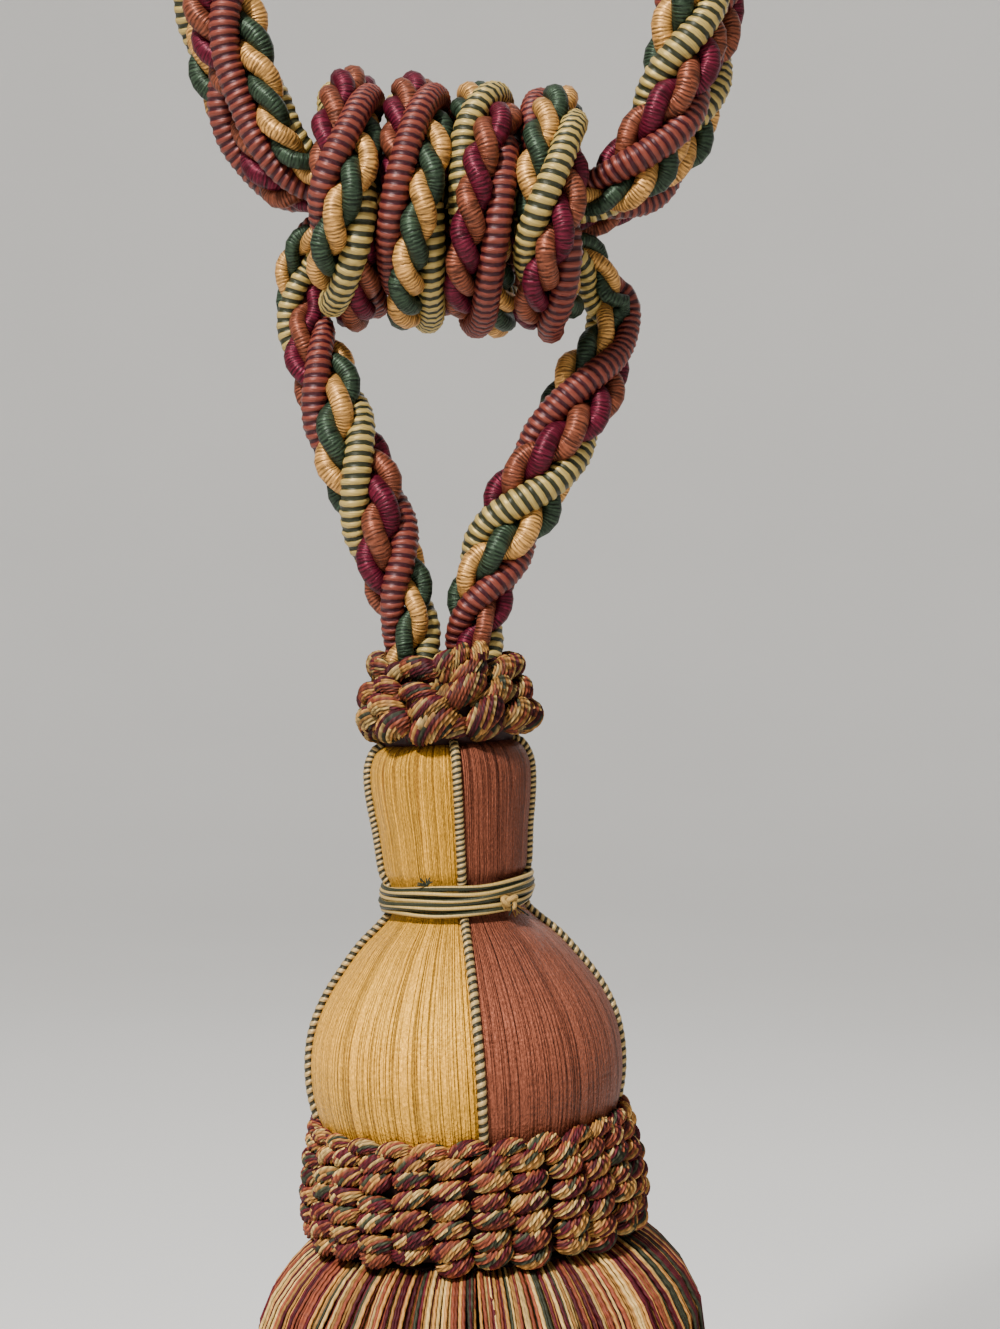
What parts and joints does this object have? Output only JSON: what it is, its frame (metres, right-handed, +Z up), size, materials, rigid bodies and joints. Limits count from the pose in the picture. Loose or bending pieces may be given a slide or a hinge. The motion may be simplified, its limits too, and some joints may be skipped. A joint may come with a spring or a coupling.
{
  "type": "curtain tieback tassel",
  "caption": "Twisted rope curtain tieback with two loops, a wound barrel knot and a hanging tassel with a panelled floss head, looped cord ruffs and a cut yarn skirt.",
  "frame": {"origin": "where the two rope loops bear on the hook that holds them", "axes": "+Z up, the tieback hangs down from the origin; its front, with the gold and rust panels, faces -Y"},
  "size_m": [0.1309, 0.0916, 0.5608],
  "materials": {
    "rope_yarn": "satin",
    "ruff_cord": "matte",
    "gold_floss": "satin",
    "rust_floss": "satin",
    "seam_cord": "satin",
    "skirt_yarn": "satin"
  },
  "bodies": {
    "root": {"loop_left": "rope_yarn", "loop_right": "rope_yarn", "leg_rope": "rope_yarn", "barrel_wrap": "rope_yarn", "top_ruff": "ruff_cord", "lower_ruff": "ruff_cord", "panel_front_left": "gold_floss", "panel_front_right": "rust_floss", "panel_back_left": "rust_floss", "panel_back_right": "gold_floss", "seam_front": "seam_cord", "seam_right": "seam_cord", "seam_back": "seam_cord", "seam_left": "seam_cord", "neck_band": "seam_cord", "band_knot": "seam_cord", "skirt": "skirt_yarn"}
  },
  "joints": []
}
